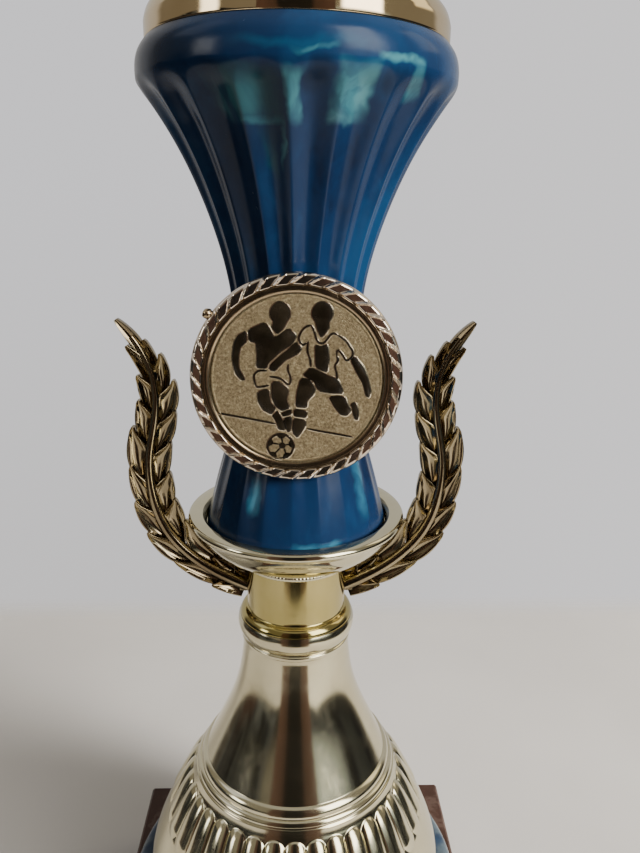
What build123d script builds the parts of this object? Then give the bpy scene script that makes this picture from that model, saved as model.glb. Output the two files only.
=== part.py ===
from build123d import *
import math
import os

# A column trophy: a marble block, a blue plastic foot ring, a gold bell, a neck that carries two laurel
# branches, a dish, a waisted blue column with a round medallion on its front, a domed cap and a finial.
# One threaded rod runs up the middle and clamps the whole stack together.
# Millimetres. The origin is the centre of the underside, +Z is up and the medallion faces -Y.

# ---- driving dimensions: fasteners -------------------------------------------------------------------
ROD_R = 3.0                      # M6 rod, drawn as a plain cylinder
ROD_HOLE_R = 3.2                 # clearance hole for the rod
NUT_ACROSS_FLATS = 10.0
NUT_HEIGHT = 5.0
WASHER_R = 9.0
WASHER_T = 1.6

# ---- driving dimensions: heights of the stack, from the underside up ----------------------------------
FELT_T = 1.5
MARBLE_H = 30.0
GASKET_T = 0.8
FOOT_H = 31.7
BELL_H = 113.6
NECK_H = 19.9
DISH_H = 18.5
DISH_RECESS = 3.5
COLUMN_H = 141.9
CAP_H = 18.6
COLLAR_H = 12.0
FINIAL_H = 39.0

MARBLE_Z = FELT_T
GASKET_Z = MARBLE_Z + MARBLE_H
FOOT_Z = GASKET_Z + GASKET_T
BELL_Z = FOOT_Z + FOOT_H
NECK_Z = BELL_Z + BELL_H
DISH_Z = NECK_Z + NECK_H
COLUMN_Z = DISH_Z + DISH_H - DISH_RECESS
CAP_Z = COLUMN_Z + COLUMN_H
COLLAR_Z = CAP_Z + CAP_H
FINIAL_Z = COLLAR_Z + COLLAR_H

# ---- driving dimensions: marble block and what lies under it ------------------------------------------
MARBLE_SIDE = 144.0
MARBLE_EDGE = 1.0
FELT_INSET = 1.5
COUNTERBORE_R = 13.0
COUNTERBORE_DEPTH = 9.0
ROD_RECESS = 1.5                 # the rod and nut stay this far above the felt

# ---- driving dimensions: turned shells ----------------------------------------------------------------
FOOT_R = 63.2
FOOT_WALL = 2.6
BELL_R = 55.4
BELL_TOP_R = 18.4
BELL_BEAD_R = 20.2
BELL_BEAD_H = 7.2                # round bead that ends the bell, under the neck
BELL_WALL = 1.6
BELL_LIP_R = 51.0                # locating ring on the foot, inside the bell's mouth
BELL_LIP_H = 3.0
NECK_R = 16.9
NECK_FLANGE_R = 19.4
NECK_FLANGE_H = 3.0
NECK_WALL = 1.8
DISH_R = 35.9
DISH_HUB_R = 18.0
DISH_RECESS_R = 30.1
DISH_MOUTH_R = 31.2
COLUMN_FOOT_R = 29.8
COLUMN_WAIST_R = 19.4
COLUMN_SHOULDER_R = 44.8
COLUMN_TOP_R = 42.1
COLUMN_WALL = 2.4
CENTRING_AT = 112.0              # height of the centring disc above the column's foot
CENTRING_R = 27.4
CENTRING_HOLE_R = 3.02
CAP_R = 42.0
CAP_WALL = 1.2
CAP_LIP_R = 39.2
CAP_LIP_H = 4.0
COLLAR_R = 16.0
FINIAL_R = 11.0
INSERT_R = 4.5
INSERT_DEPTH = 12.0
WEB_T = 2.4                      # thickness of the webs that the rod passes through

# ---- driving dimensions: laurel branches --------------------------------------------------------------
STEM_T = 3.0
LEAF_T = 2.0
LEAF_PAIRS = 10
LEAF_LENGTH = 12.5
LEAF_WIDTH = 5.4
LEAF_SPLAY = 33.0                # degrees between a leaf and the stem
LEAF_BELLY = 0.45                # where a leaf is widest, as a share of its length
FIRST_LEAF = 0.10                # first and last pair of leaves, as shares of the branch's length
LAST_LEAF = 0.90
STEM_POINTS = 7
STEM_HALF_ROOT = 2.2
STEM_HALF_TIP = 0.7
PEG_H = 4.2
PEG_REACH = 3.6                  # how far the root peg passes inside the neck's outer face
PEG_GAP = 0.1
BRANCH_ROOT_Z = 187.3
# centre line of a branch, from its root on the neck to its tip
BRANCH_LINE = [
    (16.6, BRANCH_ROOT_Z),
    (36.3, 199.3),
    (46.9, 216.7),
    (47.9, 236.0),
    (45.0, 256.0),
    (55.5, 277.5),
]

# ---- driving dimensions: medallion --------------------------------------------------------------------
MEDALLION_Z = 266.0
MEDALLION_R = 29.8
ROPE_TUBE_R = 1.9
LIP_OUTER_R = 26.4
LIP_INNER_R = 24.4
INSERT_DISC_R = 24.9
HOLDER_BACK_Y = -24.6
HOLDER_PLATE_T = 1.2
PAD_T = 0.4
DISC_T = 0.8
LIP_FRONT_Y = -28.0
NUB_R = 1.3
NUB_ANGLE = 143.0
STEM_R = 3.0
STEM_HOLE_R = 3.05
STEM_END_Y = -14.4
BOSS_R = 6.0
BOSS_END_Y = -19.9
RETAINER_R = 6.0
RETAINER_T = 0.6
RETAINER_Y = -15.9


# ---- helpers ------------------------------------------------------------------------------------------
def line(*points):
    """Straight run through (radius, height) points in the turning plane."""
    return Polyline(*[(r, 0, z) for r, z in points])


def curve(*points):
    """Smooth run through (radius, height) points."""
    return Spline(*[(r, 0, z) for r, z in points])


def arc(start, middle, end):
    """Circular run through three (radius, height) points."""
    return ThreePointArc(*[(r, 0, z) for r, z in (start, middle, end)])


def turned(*runs):
    """Solid of revolution about Z whose closed outline is the runs joined end to end."""
    outline = Curve() + list(runs)
    return revolve(make_face(outline.edges()), Axis.Z)


def raised(points, dz):
    """The same (radius, height) points, dz higher."""
    return [(r, z + dz) for r, z in points]


def inset(points, wall):
    """The same (radius, height) points, one wall nearer to the axis."""
    return [(r - wall, z) for r, z in points]


def disc(radius, bottom, thickness, hole=0.0):
    """Round plate or ring, standing on the height given."""
    standing = (Align.CENTER, Align.CENTER, Align.MIN)
    plate = Cylinder(radius, thickness, align=standing)
    if hole:
        plate -= Cylinder(hole, thickness, align=standing)
    return Pos(0, 0, bottom) * plate


def hex_nut(bottom):
    blank = RegularPolygon(NUT_ACROSS_FLATS / 2, 6, major_radius=False)
    nut = extrude(Pos(0, 0, bottom) * blank, NUT_HEIGHT)
    return nut - disc(ROD_R, bottom, NUT_HEIGHT)


def facing_disc(radius, front_y, thickness, hole=0.0):
    """Round plate on the medallion's axis with its front face at front_y."""
    plate = Rot(90, 0, 0) * disc(radius, 0, thickness, hole)
    return Pos(0, front_y + thickness, MEDALLION_Z) * plate


# ---- base ---------------------------------------------------------------------------------------------
def base_felt():
    side = MARBLE_SIDE - 2 * FELT_INSET
    sheet = Pos(0, 0, FELT_T / 2) * Box(side, side, FELT_T)
    return sheet


def marble_base():
    block = Pos(0, 0, MARBLE_Z + MARBLE_H / 2) * Box(MARBLE_SIDE, MARBLE_SIDE, MARBLE_H)
    block = chamfer(block.edges(), MARBLE_EDGE)
    block -= disc(ROD_HOLE_R, MARBLE_Z, MARBLE_H)
    return block - disc(COUNTERBORE_R, MARBLE_Z, COUNTERBORE_DEPTH)


def base_washer():
    return disc(WASHER_R, MARBLE_Z + COUNTERBORE_DEPTH - WASHER_T, WASHER_T, ROD_HOLE_R)


def base_nut():
    return hex_nut(MARBLE_Z + COUNTERBORE_DEPTH - WASHER_T - NUT_HEIGHT)


def threaded_rod():
    bottom = MARBLE_Z + ROD_RECESS
    top = FINIAL_Z + INSERT_DEPTH - 2.0
    return disc(ROD_R, bottom, top - bottom)


def foot_gasket():
    """Foam ring that keeps the foot ring from sliding and scratching on the marble."""
    outer = FOOT_R - 4.0
    return disc(outer, GASKET_Z, GASKET_T, outer - 8.0)


# ---- foot ring and bell -------------------------------------------------------------------------------
def foot_ring():
    outer = [(FOOT_R - 3.2, 0), (FOOT_R - 2.4, 8.0), (FOOT_R - 0.5, 20.0), (FOOT_R, 28.0)]
    deck = FOOT_H - FOOT_WALL
    shell = turned(
        curve(*raised(outer, FOOT_Z)),
        arc((FOOT_R, FOOT_Z + 28.0), (FOOT_R - 1.2, FOOT_Z + 30.6), (FOOT_R - 4.0, FOOT_Z + FOOT_H)),
        line((FOOT_R - 4.0, FOOT_Z + FOOT_H), (ROD_HOLE_R, FOOT_Z + FOOT_H), (ROD_HOLE_R, FOOT_Z + deck)),
        line((ROD_HOLE_R, FOOT_Z + deck), (FOOT_R - 6.6, FOOT_Z + deck), (FOOT_R - 6.6, FOOT_Z)),
        line((FOOT_R - 6.6, FOOT_Z), (FOOT_R - 3.2, FOOT_Z)),
    )
    ring = disc(BELL_LIP_R, FOOT_Z + FOOT_H, BELL_LIP_H, BELL_LIP_R - FOOT_WALL)
    sleeve = disc(ROD_HOLE_R + FOOT_WALL, FOOT_Z, deck, ROD_HOLE_R)
    return shell + ring + sleeve


def bell_riser():
    skirt = [(BELL_R - 0.3, 0), (BELL_R, 6.0), (52.8, 20.5), (45.6, 35.5), (39.2, 48.0)]
    collar = [(37.0, 51.4), (36.2, 52.6), (35.3, 53.9), (34.4, 55.0)]
    flare = [(32.0, 60.6), (25.9, 72.8), (20.6, 88.0), (BELL_TOP_R, 103.0)]
    top = BELL_H
    bead_z = BELL_H - BELL_BEAD_H
    bead = [(BELL_BEAD_R - 1.6, bead_z), (BELL_BEAD_R, bead_z + 4.8), (BELL_BEAD_R - 0.6, top)]
    outer = [
        curve(*raised(skirt, BELL_Z)),
        line(*raised([skirt[-1], collar[0]], BELL_Z)),
        line(*raised(collar[:2], BELL_Z)),
        arc(*raised(collar[1:], BELL_Z)),
        line(*raised([collar[-1], flare[0]], BELL_Z)),
        curve(*raised(flare, BELL_Z)),
        line(*raised([flare[-1], (BELL_TOP_R, bead_z), bead[0]], BELL_Z)),
        arc(*raised(bead, BELL_Z)),
        line(*raised([bead[-1], (ROD_HOLE_R, top), (ROD_HOLE_R, top - WEB_T)], BELL_Z)),
    ]
    inner_top = BELL_TOP_R - BELL_WALL
    inner_skirt = inset(skirt, BELL_WALL)
    inner_flare = inset(flare, BELL_WALL)
    inner = [
        line(*raised([(ROD_HOLE_R, top - WEB_T), (inner_top, top - WEB_T), inner_flare[-1]], BELL_Z)),
        curve(*raised(inner_flare[::-1], BELL_Z)),
        line(*raised([inner_flare[0], inner_skirt[-1]], BELL_Z)),
        curve(*raised(inner_skirt[::-1], BELL_Z)),
        line(*raised([inner_skirt[0], skirt[0]], BELL_Z)),
    ]
    return turned(*outer, *inner)


# ---- neck, branches and dish --------------------------------------------------------------------------
def neck_collar():
    flange_top = NECK_Z + NECK_FLANGE_H
    web = DISH_Z - WEB_T
    inside = NECK_R - NECK_WALL
    shell = turned(
        arc((NECK_FLANGE_R, NECK_Z), (NECK_FLANGE_R - 0.8, NECK_Z + 1.8), (NECK_R, flange_top)),
        line((NECK_R, flange_top), (NECK_R, DISH_Z), (ROD_HOLE_R, DISH_Z), (ROD_HOLE_R, web)),
        line((ROD_HOLE_R, web), (inside, web), (inside, NECK_Z), (NECK_FLANGE_R, NECK_Z)),
    )
    slot = Pos(0, 0, BRANCH_ROOT_Z) * Box(4 * NECK_R, STEM_T + 2 * PEG_GAP, PEG_H + 2 * PEG_GAP)
    return shell - slot


def branch(side):
    """Laurel branch in the XZ plane: side is 1 on +X and -1 on -X."""
    midrib = Spline(*[(side * x, z) for x, z in BRANCH_LINE])

    def beside(t, offset):
        along = midrib.tangent_at(t)
        here = midrib.position_at(t)
        return here + Vector(-along.Y, along.X) * offset

    def half_width(t):
        return STEM_HALF_ROOT + (STEM_HALF_TIP - STEM_HALF_ROOT) * t

    steps = [i / (STEM_POINTS - 1) for i in range(STEM_POINTS)]
    left = [beside(t, half_width(t)) for t in steps]
    right = [beside(t, -half_width(t)) for t in steps]
    edges = [Spline(*left), Line(left[-1], right[-1]), Spline(*right[::-1]), Line(right[0], left[0])]
    stem = make_face(edges)

    def leaf(t, splay):
        root = midrib.position_at(t)
        heading = midrib.tangent_at(t).rotate(Axis.Z, splay)
        tip = root + heading * LEAF_LENGTH
        across = Vector(-heading.Y, heading.X) * (LEAF_WIDTH / 2)
        belly = root + heading * (LEAF_LENGTH * LEAF_BELLY)
        upper = ThreePointArc(root, belly + across, tip)
        lower = ThreePointArc(tip, belly - across, root)
        return make_face([upper, lower])

    leaves = Sketch()
    for i in range(LEAF_PAIRS):
        t = FIRST_LEAF + (LAST_LEAF - FIRST_LEAF) * i / (LEAF_PAIRS - 1)
        leaves += leaf(t, LEAF_SPLAY)
        leaves += leaf(t, -LEAF_SPLAY)

    upright = Plane(origin=(0, 0, 0), x_dir=(1, 0, 0), z_dir=(0, -1, 0))
    body = extrude(upright * stem, STEM_T / 2, both=True)
    body += extrude(upright * leaves, LEAF_T / 2, both=True)
    body -= disc(NECK_R + 0.05, NECK_Z, NECK_H)
    peg_end = NECK_R - PEG_REACH
    peg_length = NECK_R + 1.6 - peg_end
    body += Pos(side * (peg_end + peg_length / 2), 0, BRANCH_ROOT_Z) * Box(peg_length, STEM_T, PEG_H)
    return body


def column_dish():
    rim = DISH_Z + DISH_H
    floor = rim - DISH_RECESS
    underside = [(DISH_HUB_R, 1.4), (23.3, 6.8), (31.0, 13.0), (DISH_R - 0.6, 16.8)]
    shell = turned(
        line((ROD_HOLE_R, DISH_Z), (DISH_HUB_R, DISH_Z), (DISH_HUB_R, DISH_Z + 1.4)),
        curve(*raised(underside, DISH_Z)),
        arc((DISH_R - 0.6, DISH_Z + 16.8), (DISH_R, rim - 0.8), (DISH_R - 0.7, rim)),
        line((DISH_R - 0.7, rim), (DISH_MOUTH_R, rim), (DISH_RECESS_R, rim - 1.3), (DISH_RECESS_R, floor)),
        line((DISH_RECESS_R, floor), (COLUMN_FOOT_R - 2 * COLUMN_WALL, floor)),
        curve((COLUMN_FOOT_R - 2 * COLUMN_WALL, floor), (19.0, DISH_Z + 6.6), (14.0, DISH_Z + WEB_T)),
        line((14.0, DISH_Z + WEB_T), (ROD_HOLE_R, DISH_Z + WEB_T), (ROD_HOLE_R, DISH_Z)),
    )
    return shell


# ---- column and cap -----------------------------------------------------------------------------------
def column():
    flare = [
        (COLUMN_FOOT_R, 0),
        (26.3, 14.5),
        (22.0, 30.5),
        (COLUMN_WAIST_R, 54.5),
        (21.1, 78.5),
        (26.8, 98.5),
        (36.2, 118.5),
        (44.1, 130.8),
    ]
    shoulder = [flare[-1], (COLUMN_SHOULDER_R, 135.2), (44.0, 139.2), (COLUMN_TOP_R, COLUMN_H)]
    bore = inset(flare, COLUMN_WALL)
    shell = turned(
        curve(*raised(flare, COLUMN_Z)),
        curve(*raised(shoulder, COLUMN_Z)),
        line(*raised([shoulder[-1], (COLUMN_TOP_R - COLUMN_WALL, COLUMN_H)], COLUMN_Z)),
        line(*raised([(COLUMN_TOP_R - COLUMN_WALL, COLUMN_H), bore[-1]], COLUMN_Z)),
        curve(*raised(bore[::-1], COLUMN_Z)),
        line(*raised([bore[0], flare[0]], COLUMN_Z)),
    )
    drill = Rot(90, 0, 0) * Cylinder(STEM_HOLE_R, -HOLDER_BACK_Y)
    return shell - Pos(0, HOLDER_BACK_Y / 2, MEDALLION_Z) * drill


def centring_disc():
    """Plastic disc inside the column's wide top that keeps the rod in the middle."""
    return disc(CENTRING_R, COLUMN_Z + CENTRING_AT, WEB_T, CENTRING_HOLE_R)


def dome_cap():
    dome = [(CAP_R, 4.6), (41.0, 7.6), (37.6, 10.8), (28.0, 14.9), (COLLAR_R, CAP_H)]
    lip_bottom = CAP_Z - CAP_LIP_H
    bore = [(r - CAP_WALL, z - CAP_WALL) for r, z in dome]
    lip_inner = CAP_LIP_R - CAP_WALL
    rim_inner = CAP_R - CAP_WALL
    rim_floor = CAP_Z + CAP_WALL
    crown = COLLAR_Z - CAP_WALL
    return turned(
        line((CAP_R, CAP_Z), (CAP_R, CAP_Z + 4.6)),
        curve(*raised(dome, CAP_Z)),
        line((COLLAR_R, COLLAR_Z), (ROD_HOLE_R, COLLAR_Z), (ROD_HOLE_R, crown)),
        line((ROD_HOLE_R, crown), (COLLAR_R - CAP_WALL, crown)),
        curve(*raised(bore[::-1], CAP_Z)),
        line((rim_inner, CAP_Z + 4.6 - CAP_WALL), (rim_inner, rim_floor), (lip_inner, rim_floor)),
        line((lip_inner, rim_floor), (lip_inner, lip_bottom), (CAP_LIP_R, lip_bottom)),
        line((CAP_LIP_R, lip_bottom), (CAP_LIP_R, CAP_Z), (CAP_R, CAP_Z)),
    )


def top_washer():
    return disc(WASHER_R, COLLAR_Z, WASHER_T, ROD_HOLE_R)


def top_nut():
    return hex_nut(COLLAR_Z + WASHER_T)


# ---- finial -------------------------------------------------------------------------------------------
def finial_collar():
    """Stepped pedestal that hides the top nut."""
    outer = line(
        (COLLAR_R, COLLAR_Z),
        (COLLAR_R, COLLAR_Z + 2.0),
        (COLLAR_R - 1.5, COLLAR_Z + 2.6),
        (COLLAR_R - 2.0, COLLAR_Z + 4.0),
    )
    waist_top = (COLLAR_R - 5.4, FINIAL_Z - 1.8)
    seat_r = COLLAR_R - 4.4
    waist = curve((COLLAR_R - 2.0, COLLAR_Z + 4.0), (COLLAR_R - 4.6, COLLAR_Z + 6.8), waist_top)
    top = line(waist_top, (seat_r, FINIAL_Z - 1.2), (seat_r, FINIAL_Z))
    inside = line(
        (seat_r, FINIAL_Z),
        (ROD_HOLE_R, FINIAL_Z),
        (ROD_HOLE_R, FINIAL_Z - 2.0),
        (WASHER_R + 0.3, FINIAL_Z - 2.0),
        (WASHER_R + 0.3, COLLAR_Z),
        (COLLAR_R, COLLAR_Z),
    )
    return turned(outer, waist, top, inside)


def finial():
    foot = 8.6
    throat = 5.6
    neck = 3.2
    ball = 4.8
    ball_z = FINIAL_H - ball
    vase = [(throat, 4.2), (FINIAL_R, 16.5), (6.6, 24.5), (neck, 29.4)]
    body = turned(
        line((INSERT_R, FINIAL_Z), (foot, FINIAL_Z), (foot, FINIAL_Z + 1.6)),
        arc(*raised([(foot, 1.6), (foot - 2.2, 2.3), (throat, 4.2)], FINIAL_Z)),
        curve(*raised(vase, FINIAL_Z)),
        line(*raised([vase[-1], (neck, ball_z), (0, ball_z), (0, INSERT_DEPTH)], FINIAL_Z)),
        line(*raised([(0, INSERT_DEPTH), (INSERT_R, INSERT_DEPTH), (INSERT_R, 0)], FINIAL_Z)),
    )
    return body + Pos(0, 0, FINIAL_Z + ball_z) * Sphere(ball)


def finial_insert():
    """Brass insert moulded into the finial, which screws on the rod's end."""
    sleeve = disc(INSERT_R, FINIAL_Z, INSERT_DEPTH, ROD_R)
    return sleeve + disc(INSERT_R, FINIAL_Z + INSERT_DEPTH - 2.0, 2.0)


# ---- medallion ----------------------------------------------------------------------------------------
def medallion_holder():
    centre_r = MEDALLION_R - ROPE_TUBE_R
    plate_front = HOLDER_BACK_Y - HOLDER_PLATE_T
    plate = facing_disc(centre_r, plate_front, HOLDER_PLATE_T)
    rope_y = plate_front - 0.9
    rope = Pos(0, rope_y, MEDALLION_Z) * Rot(90, 0, 0) * Torus(centre_r, ROPE_TUBE_R)
    lip = facing_disc(LIP_OUTER_R + 0.6, LIP_FRONT_Y, plate_front - LIP_FRONT_Y, LIP_INNER_R)
    seat = facing_disc(INSERT_DISC_R, plate_front - PAD_T - DISC_T, PAD_T + DISC_T)
    angle = math.radians(NUB_ANGLE)
    reach = MEDALLION_R + 1.2
    nub_at = Pos(reach * math.cos(angle), rope_y, MEDALLION_Z + reach * math.sin(angle))
    nub = nub_at * Rot(90, 0, 0) * Cylinder(NUB_R, 2 * NUB_R)
    return plate + rope + lip - seat + nub


def medallion_stem():
    """Peg of the holder: a wide boss fills the gap to the column, a shank passes through the wall."""
    boss = facing_disc(BOSS_R, HOLDER_BACK_Y, BOSS_END_Y - HOLDER_BACK_Y)
    shank = facing_disc(STEM_R, BOSS_END_Y, STEM_END_Y - BOSS_END_Y)
    return boss + shank


def stem_retainer():
    """Push-on washer on the shank, inside the column."""
    return facing_disc(RETAINER_R, RETAINER_Y, RETAINER_T, STEM_R)


def adhesive_pad():
    return facing_disc(INSERT_DISC_R - 1.0, HOLDER_BACK_Y - HOLDER_PLATE_T - PAD_T, PAD_T)


def medallion_insert():
    return facing_disc(INSERT_DISC_R, HOLDER_BACK_Y - HOLDER_PLATE_T - PAD_T - DISC_T, DISC_T)


# ---- every piece, under the name of its node ----------------------------------------------------------
PIECES = {
    "base_felt": base_felt(),
    "marble_base": marble_base(),
    "base_washer": base_washer(),
    "base_nut": base_nut(),
    "threaded_rod": threaded_rod(),
    "foot_gasket": foot_gasket(),
    "foot_ring": foot_ring(),
    "bell_riser": bell_riser(),
    "neck_collar": neck_collar(),
    "wreath_arm_left": branch(-1),
    "wreath_arm_right": branch(1),
    "column_dish": column_dish(),
    "column": column(),
    "centring_disc": centring_disc(),
    "dome_cap": dome_cap(),
    "top_washer": top_washer(),
    "top_nut": top_nut(),
    "finial_collar": finial_collar(),
    "finial": finial(),
    "finial_insert": finial_insert(),
    "medallion_holder": medallion_holder(),
    "medallion_stem": medallion_stem(),
    "stem_retainer": stem_retainer(),
    "adhesive_pad": adhesive_pad(),
    "medallion_insert": medallion_insert(),
}

os.makedirs("parts", exist_ok=True)
for name, piece in PIECES.items():
    export_step(piece, f"parts/{name}.step")
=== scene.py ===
from cmath import phase
from math import acos, cos, pi, radians, sin, tau
import bmesh
import bpy
import numpy as np
from mathutils import Matrix, Vector


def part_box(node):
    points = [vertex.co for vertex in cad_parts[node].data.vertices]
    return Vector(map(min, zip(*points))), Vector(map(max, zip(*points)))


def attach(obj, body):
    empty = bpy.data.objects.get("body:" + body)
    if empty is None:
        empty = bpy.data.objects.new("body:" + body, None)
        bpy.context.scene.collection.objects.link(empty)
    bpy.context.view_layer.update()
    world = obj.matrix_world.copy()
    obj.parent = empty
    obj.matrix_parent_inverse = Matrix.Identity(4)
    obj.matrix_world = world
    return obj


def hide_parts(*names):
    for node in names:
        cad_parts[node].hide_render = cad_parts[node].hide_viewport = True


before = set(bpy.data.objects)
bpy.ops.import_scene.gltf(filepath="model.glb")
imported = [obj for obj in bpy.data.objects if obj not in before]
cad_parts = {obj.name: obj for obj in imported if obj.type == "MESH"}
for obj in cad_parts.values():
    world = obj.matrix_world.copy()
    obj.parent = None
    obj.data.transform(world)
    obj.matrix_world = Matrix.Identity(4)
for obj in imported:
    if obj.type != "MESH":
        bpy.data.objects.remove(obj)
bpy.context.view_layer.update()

# A column trophy: marble block, blue plastic foot ring and fluted column, mirror-gold turned parts, two
# laurel branches and a stamped medallion. The scene is in metres; the outlines below are in millimetres
# from each node's own lowest height, and MM turns them into metres.
MM = 0.001
AXIS_SEGMENTS = 288
CREASE = radians(40)
ROD_HOLE = 3.2


# ---- mesh helpers ----
def length_of(vectors):
    """Length of each row, as a column."""
    return np.linalg.norm(vectors, axis=1)[:, None]


def run_along(points):
    """Distance from the first point to each, measured along the points."""
    return np.concatenate([[0], np.cumsum(length_of(np.diff(points, axis=0)))])


def spline(points, count):
    """Cubic spline through (a, b, ...) points, read off at count even steps of chord length."""
    p = np.array(points, float)
    s = run_along(p)
    n = len(p)
    h = np.diff(s)
    m = np.zeros((n, n))
    rhs = np.zeros_like(p)
    m[0, 0] = m[-1, -1] = 1
    for i in range(1, n - 1):
        m[i, i - 1 : i + 2] = h[i - 1], 2 * (h[i - 1] + h[i]), h[i]
        rhs[i] = 6 * ((p[i + 1] - p[i]) / h[i] - (p[i] - p[i - 1]) / h[i - 1])
    k = np.linalg.solve(m, rhs)
    t = np.linspace(0, s[-1], count)
    i = np.clip(np.searchsorted(s, t, side="right") - 1, 0, n - 2)
    a = (s[i + 1] - t)[:, None]
    b = (t - s[i])[:, None]
    w = h[i][:, None]
    bend = (k[i] * a**3 + k[i + 1] * b**3) / (6 * w)
    return bend + (p[i] / w - k[i] * w / 6) * a + (p[i + 1] / w - k[i + 1] * w / 6) * b


def bow(start, middle, end, count=9):
    """Circular arc through three (radius, height) points."""
    a, b, c = (complex(*p) for p in (start, middle, end))
    w = (c - a) / (b - a)
    centre = a + (b - a) * (w - abs(w) ** 2) / (2j * w.imag)
    turn = phase((c - centre) / (a - centre)) % tau
    if phase((b - centre) / (a - centre)) % tau > turn:
        turn -= tau
    arc = centre + (a - centre) * np.exp(1j * turn * np.linspace(0, 1, count))
    return np.stack([arc.real, arc.imag], 1)


def corner(a, middle, b, count):
    """Short curve from a to b that bends at middle."""
    t = np.linspace(0, 1, count)[:, None]
    return (1 - t) ** 2 * a + 2 * t * (1 - t) * middle + t**2 * b


def eased(points, radius):
    """Open run of straight lines whose corners are rounded with short curves of about that radius."""
    p = np.array(points, float)
    run = [p[:1]]
    for before, here, after in zip(p, p[1:], p[2:]):
        legs = np.stack([before, after]) - here
        long = length_of(legs)
        a, b = here + legs / long * min(radius, 0.45 * long.min())
        run.append(corner(a, here, b, 4))
    return np.concatenate(run + [p[-1:]])


def joined(*runs):
    """One outline from several runs, without the points that meet twice."""
    p = np.concatenate([np.array(run, float) for run in runs])
    to_next = length_of(np.roll(p, -1, 0) - p)[:, 0]
    return p[to_next > 1e-4]


def new_piece(name, points, faces):
    mesh = bpy.data.meshes.new(name)
    mesh.from_pydata([tuple(p) for p in points], [], [tuple(int(i) for i in f) for f in faces])
    mesh.update()
    piece = bpy.data.objects.new(name, mesh)
    bpy.context.scene.collection.objects.link(piece)
    return piece


def add_mesh(name, points, faces, body="root", crease=CREASE):
    """A piece on that body, smooth but for edges sharper than crease."""
    piece = new_piece(name, points, faces)
    piece.data.shade_smooth()
    piece.data.set_sharp_from_angle(angle=crease)
    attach(piece, body)
    return piece


def face_outwards(piece):
    """Turns the faces of every closed shell in the piece so that they face outwards."""
    shell = bmesh.new()
    shell.from_mesh(piece.data)
    bmesh.ops.recalc_face_normals(shell, faces=shell.faces)
    shell.to_mesh(piece.data)
    shell.free()
    return piece


def grid_faces(rows, columns, close_rows=True, close_columns=True):
    """Quads over a rows x columns net of points, closed on itself where asked."""
    down = np.arange(rows if close_rows else rows - 1)
    across = np.arange(columns if close_columns else columns - 1)
    i, j = (k.ravel() for k in np.meshgrid(down, across, indexing="ij"))
    row = i * columns
    next_row = (i + 1) % rows * columns
    k = (j + 1) % columns
    return np.stack([row + j, row + k, next_row + k, next_row + j], 1)


def loft(solids):
    """Points and faces of closed solids, each through rows of equally long sections, with flat ends."""
    points = []
    faces = []
    for rows in solids:
        first = np.arange(len(rows[0])) + len(points)
        faces += list(grid_faces(len(rows), len(first), close_rows=False) + len(points))
        points += [p for row in rows for p in row]
        faces += [first[::-1], first + (len(rows) - 1) * len(first)]
    return points, faces


def net(x, y, z):
    """Points of a net, from arrays that are spread over rows and columns."""
    return np.stack(np.broadcast_arrays(x, y, z), -1).reshape(-1, 3)


def full_turn(segments):
    return np.linspace(0, tau, segments, endpoint=False)


def span(node):
    """The node's lowest height in metres, and how tall it is in mm."""
    low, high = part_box(node)
    return low.z, (high.z - low.z) / MM


def lathe(name, outline, base_z, push=None, segments=AXIS_SEGMENTS, crease=CREASE):
    """Closed ring-shaped solid about the Z axis. outline is a closed loop of (radius, height) in mm,
    anticlockwise; push is how far each point of the net moves along the outline's outward normal."""
    r, z = outline[:, :1], outline[:, 1:]
    if push is not None:
        along = np.roll(outline, -1, 0) - np.roll(outline, 1, 0)
        along /= length_of(along) + 1e-12
        r, z = r + push * along[:, 1:], z - push * along[:, :1]
    angle = full_turn(segments)
    points = net(r * np.sin(angle), -r * np.cos(angle), z) * MM + (0, 0, base_z)
    return add_mesh(name, points, grid_faces(len(outline), segments), crease=crease)


def standin(piece, node, material):
    """piece is shown for that CAD node, which is hidden, and gets this material."""
    piece.data.materials.append(material)
    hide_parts(node)


# ---- material helpers ----
class Nodes:
    """Short calls for the shader nodes used here. Inputs take a plain value or another node's output."""

    def __init__(self, tree, coordinates):
        self.tree = tree
        self.where = self.add("TexCoord").outputs[coordinates]

    def put(self, socket, value):
        if isinstance(value, bpy.types.NodeSocket):
            self.tree.links.new(value, socket)
        else:
            socket.default_value = (*value, 1) if socket.type == "RGBA" else value

    def add(self, kind, inputs={}, **settings):
        node = self.tree.nodes.new("ShaderNode" + kind)
        for key, value in settings.items():
            setattr(node, key, value)
        for key, value in inputs.items():
            self.put(node.inputs[key], value)
        return node

    def noise(self, scale, detail=4.0, roughness=0.55, distortion=0.0, vector=None, output="Fac"):
        inputs = {"Scale": scale, "Detail": detail, "Roughness": roughness, "Distortion": distortion}
        return self.add("TexNoise", {"Vector": vector or self.where, **inputs}).outputs[output]

    def mix(self, factor, a, b):
        return self.add("Mix", {"Factor": factor, "A": a, "B": b}, data_type="RGBA").outputs["Result"]

    def math(self, operation, a, b=0.0, clamp=False):
        return self.add("Math", {0: a, 1: b}, operation=operation, use_clamp=clamp).outputs[0]

    def vector(self, operation, a, b):
        return self.add("VectorMath", {0: a, 1: b}, operation=operation).outputs["Vector"]

    def split(self, vector):
        """The X, Y and Z outputs of a vector."""
        return self.add("SeparateXYZ", {0: vector}).outputs

    def bearing(self, x, y):
        """Turn about the Z axis in degrees, 0 in front and + towards +X."""
        return self.math("DEGREES", self.math("ARCTAN2", x, self.math("MULTIPLY", y, -1.0)))


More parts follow.
